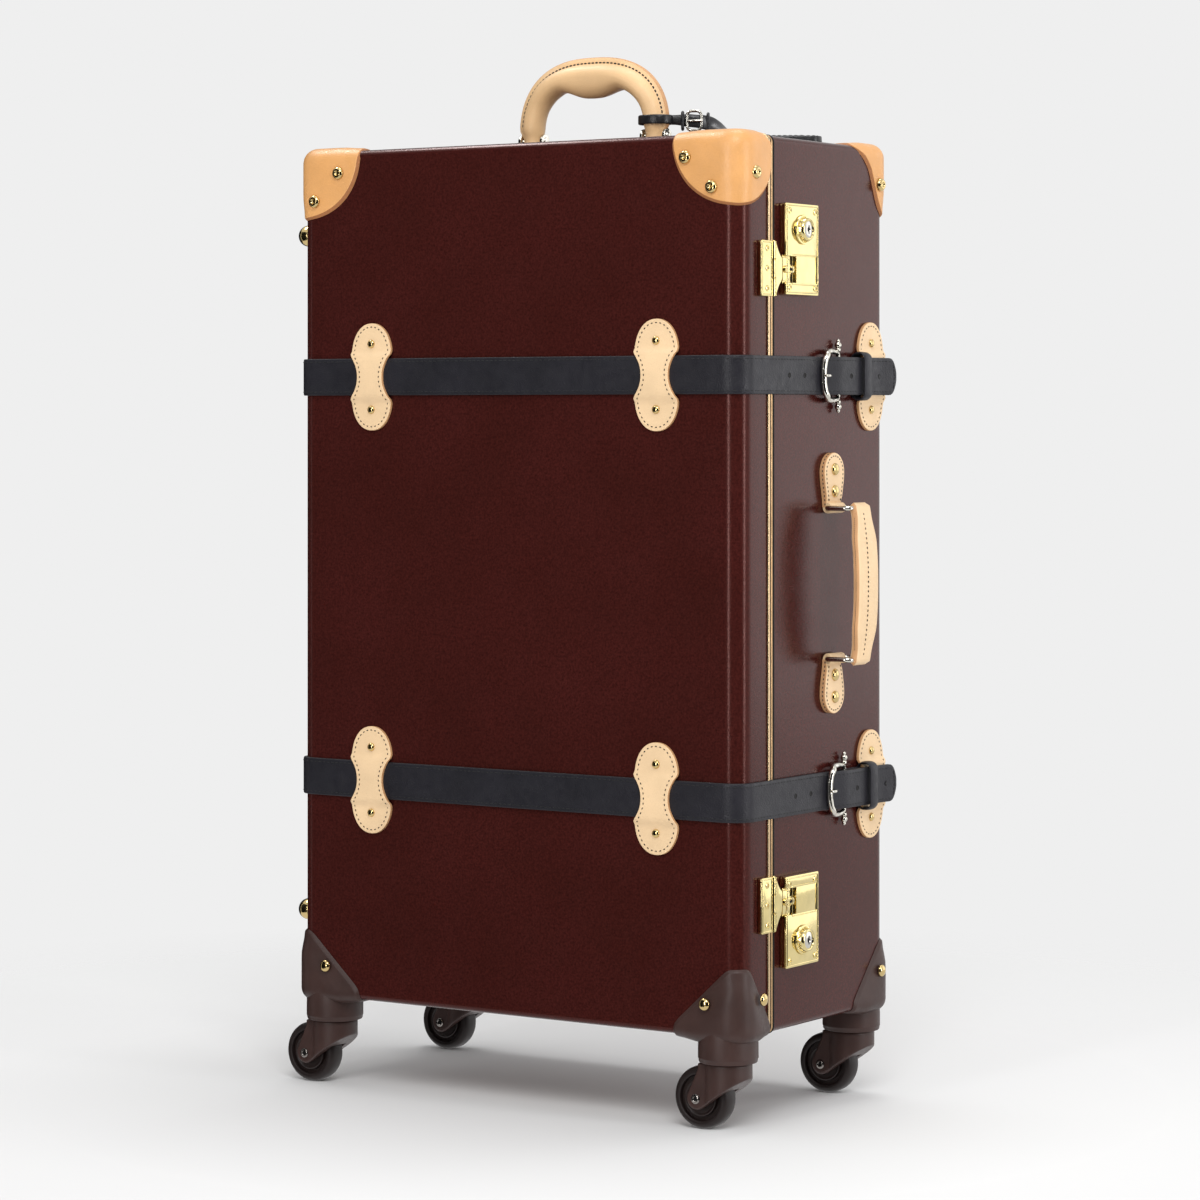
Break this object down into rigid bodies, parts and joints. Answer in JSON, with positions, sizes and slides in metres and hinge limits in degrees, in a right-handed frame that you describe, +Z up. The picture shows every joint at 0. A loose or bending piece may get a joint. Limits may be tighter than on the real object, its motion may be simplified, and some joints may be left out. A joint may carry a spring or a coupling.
{
  "type": "spinner suitcase",
  "caption": "Upright hard suitcase with leather corners, buckled straps, turn-knob locks, swivelling casters, folding top handle and side handle.",
  "frame": {"origin": "on the floor under the middle of the whole object's outline", "axes": "+Z up, -Y out of the lid's front face, +X out of the side with the locks, buckles and side handle"},
  "size_m": [0.5128, 0.2514, 0.901],
  "materials": {
    "shell_covering": "fine-grained semi-gloss coated covering over fibreboard",
    "rim_metal": "pale gold satin",
    "corner_leather": "moulded natural hide",
    "tan_leather": "natural hide with stitched edges",
    "strap_leather": "navy-black, stitched edges",
    "tag_leather": "smooth black",
    "guard_plastic": "satin brown",
    "wheel_rubber": "matt dark brown",
    "brass_fittings": "polished",
    "nickel_fittings": "polished nickel",
    "tube_metal": "satin",
    "pull_plastic": "satin dark"
  },
  "bodies": {
    "base": {"base_shell": "shell_covering", "corner_base_left": "corner_leather", "corner_base_right": "corner_leather", "guard_base_left": "guard_plastic", "guard_base_right": "guard_plastic", "foot_base_upper": "brass_fittings", "foot_base_lower": "brass_fittings", "lock_upper_box": "brass_fittings", "lock_lower_box": "brass_fittings", "hinge_upper_base_leaf": "brass_fittings", "hinge_lower_base_leaf": "brass_fittings", "strap_upper_chape": "strap_leather", "strap_lower_chape": "strap_leather", "handle_bracket_left": "nickel_fittings", "handle_bracket_right": "nickel_fittings", "side_tab_upper": "tan_leather", "side_tab_lower": "tan_leather", "pull_tray": "pull_plastic", "pull_channel": "tube_metal"},
    "lid": {"lid_shell": "shell_covering", "lid_rim": "rim_metal", "corner_lid_left": "corner_leather", "corner_lid_right": "corner_leather", "guard_lid_left": "guard_plastic", "guard_lid_right": "guard_plastic", "foot_lid_upper": "brass_fittings", "foot_lid_lower": "brass_fittings", "hasp_upper_leaf": "brass_fittings", "hasp_lower_leaf": "brass_fittings", "hinge_upper_lid_leaf": "brass_fittings", "hinge_lower_lid_leaf": "brass_fittings", "strap_upper_billet": "strap_leather", "strap_lower_billet": "strap_leather", "keeper_upper_left": "tan_leather", "keeper_upper_right": "tan_leather", "keeper_lower_left": "tan_leather", "keeper_lower_right": "tan_leather"},
    "caster_front_left": {"caster_front_left_fork": "guard_plastic"},
    "wheel_front_left": {"caster_front_left_wheel": "wheel_rubber"},
    "caster_front_right": {"caster_front_right_fork": "guard_plastic"},
    "wheel_front_right": {"caster_front_right_wheel": "wheel_rubber"},
    "caster_rear_left": {"caster_rear_left_fork": "guard_plastic"},
    "wheel_rear_left": {"caster_rear_left_wheel": "wheel_rubber"},
    "caster_rear_right": {"caster_rear_right_fork": "guard_plastic"},
    "wheel_rear_right": {"caster_rear_right_wheel": "wheel_rubber"},
    "lock_knob_upper": {"lock_upper_knob": "brass_fittings"},
    "lock_knob_lower": {"lock_lower_knob": "brass_fittings"},
    "hasp_upper": {"hasp_upper_tongue": "brass_fittings"},
    "hasp_lower": {"hasp_lower_tongue": "brass_fittings"},
    "top_handle": {"top_handle": "tan_leather"},
    "luggage_tag": {"luggage_tag": "tag_leather"},
    "side_ring_upper": {"side_ring_upper": "nickel_fittings"},
    "side_handle": {"side_handle": "tan_leather"},
    "side_ring_lower": {"side_ring_lower": "nickel_fittings"},
    "pull_grip": {"pull_grip": "pull_plastic"},
    "pull_button": {"pull_button": "pull_plastic"},
    "buckle_upper": {"buckle_upper_frame": "nickel_fittings"},
    "prong_upper": {"prong_upper": "nickel_fittings"},
    "buckle_lower": {"buckle_lower_frame": "nickel_fittings"},
    "prong_lower": {"prong_lower": "nickel_fittings"}
  },
  "joints": [
    {"name": "lid_swing", "type": "hinge", "parent": "base", "child": "lid", "pos_m": [-0.23735, -0.073, 0.448], "axis": [0, 0, -1], "range_deg": [0, 105], "deforming": ["strap_upper_billet", "strap_lower_billet"]},
    {"name": "caster_front_left_swivel", "type": "hinge", "parent": "lid", "child": "caster_front_left", "pos_m": [-0.20835, -0.101, 0.0565], "axis": [0, 0, 1], "continuous": true},
    {"name": "wheel_front_left_spin", "type": "hinge", "parent": "caster_front_left", "child": "wheel_front_left", "pos_m": [-0.23035, -0.101, 0.026], "axis": [0, 1, 0], "continuous": true},
    {"name": "caster_front_right_swivel", "type": "hinge", "parent": "lid", "child": "caster_front_right", "pos_m": [0.19865, -0.101, 0.0565], "axis": [0, 0, 1], "continuous": true},
    {"name": "wheel_front_right_spin", "type": "hinge", "parent": "caster_front_right", "child": "wheel_front_right", "pos_m": [0.17665, -0.101, 0.026], "axis": [0, 1, 0], "continuous": true},
    {"name": "caster_rear_left_swivel", "type": "hinge", "parent": "base", "child": "caster_rear_left", "pos_m": [-0.20835, 0.101, 0.0565], "axis": [0, 0, 1], "continuous": true},
    {"name": "wheel_rear_left_spin", "type": "hinge", "parent": "caster_rear_left", "child": "wheel_rear_left", "pos_m": [-0.23035, 0.101, 0.026], "axis": [0, 1, 0], "continuous": true},
    {"name": "caster_rear_right_swivel", "type": "hinge", "parent": "base", "child": "caster_rear_right", "pos_m": [0.19865, 0.101, 0.0565], "axis": [0, 0, 1], "continuous": true},
    {"name": "wheel_rear_right_spin", "type": "hinge", "parent": "caster_rear_right", "child": "wheel_rear_right", "pos_m": [0.17665, 0.101, 0.026], "axis": [0, 1, 0], "continuous": true},
    {"name": "lock_upper_turn", "type": "hinge", "parent": "base", "child": "lock_knob_upper", "pos_m": [0.22975, -0.0335, 0.7415], "axis": [1, 0, 0], "range_deg": [0, 120]},
    {"name": "lock_lower_turn", "type": "hinge", "parent": "base", "child": "lock_knob_lower", "pos_m": [0.22975, -0.0335, 0.1515], "axis": [1, 0, 0], "range_deg": [0, 120]},
    {"name": "hasp_upper_swing", "type": "hinge", "parent": "lid", "child": "hasp_upper", "pos_m": [0.22605, -0.075, 0.708], "axis": [0, 0, -1], "range_deg": [0, 120]},
    {"name": "hasp_lower_swing", "type": "hinge", "parent": "lid", "child": "hasp_lower", "pos_m": [0.22605, -0.075, 0.185], "axis": [0, 0, -1], "range_deg": [0, 120]},
    {"name": "top_handle_fold", "type": "hinge", "parent": "base", "child": "top_handle", "pos_m": [-0.00485, 0.005, 0.829], "axis": [1, 0, 0], "range_deg": [0, 75]},
    {"name": "luggage_tag_turn", "type": "hinge", "parent": "top_handle", "child": "luggage_tag", "pos_m": [0.05915, 0.005, 0.842], "axis": [0, 0, 1], "range_deg": [-12, 15]},
    {"name": "side_ring_upper_swing", "type": "hinge", "parent": "base", "child": "side_ring_upper", "pos_m": [0.22765, 0.022, 0.50925], "axis": [0, 1, 0], "range_deg": [-30, 34]},
    {"name": "side_handle_swing", "type": "hinge", "parent": "side_ring_upper", "child": "side_handle", "pos_m": [0.25165, 0.022, 0.50925], "axis": [0, 1, 0], "range_deg": [-35, 35]},
    {"name": "side_ring_lower_swing", "type": "hinge", "parent": "base", "child": "side_ring_lower", "pos_m": [0.22765, 0.022, 0.38225], "axis": [0, 1, 0], "range_deg": [-35, 35]},
    {"name": "pull_slide", "type": "slide", "parent": "base", "child": "pull_grip", "axis": [0, 0, 1], "range_m": [0, 0.42]},
    {"name": "pull_button_press", "type": "slide", "parent": "pull_grip", "child": "pull_button", "axis": [0, 0, -1], "range_m": [0, 0.003], "stiffness_N_per_m": 600, "springref_m": -0.002},
    {"name": "buckle_upper_swing", "type": "hinge", "parent": "base", "child": "buckle_upper", "pos_m": [0.22665, 0.03, 0.6205], "axis": [0, 0, 1], "range_deg": [0, 60]},
    {"name": "prong_upper_swing", "type": "hinge", "parent": "buckle_upper", "child": "prong_upper", "pos_m": [0.22665, 0.03, 0.6205], "axis": [0, 0, 1], "range_deg": [0, 75]},
    {"name": "buckle_lower_swing", "type": "hinge", "parent": "base", "child": "buckle_lower", "pos_m": [0.22665, 0.04, 0.271], "axis": [0, 0, 1], "range_deg": [0, 60]},
    {"name": "prong_lower_swing", "type": "hinge", "parent": "buckle_lower", "child": "prong_lower", "pos_m": [0.22665, 0.04, 0.271], "axis": [0, 0, 1], "range_deg": [0, 75]}
  ],
  "couplings": [
    {"joint": "side_handle_swing", "follows": "side_ring_upper_swing", "ratio": -1},
    {"joint": "side_ring_lower_swing", "follows": "side_ring_upper_swing", "ratio": 1}
  ]
}
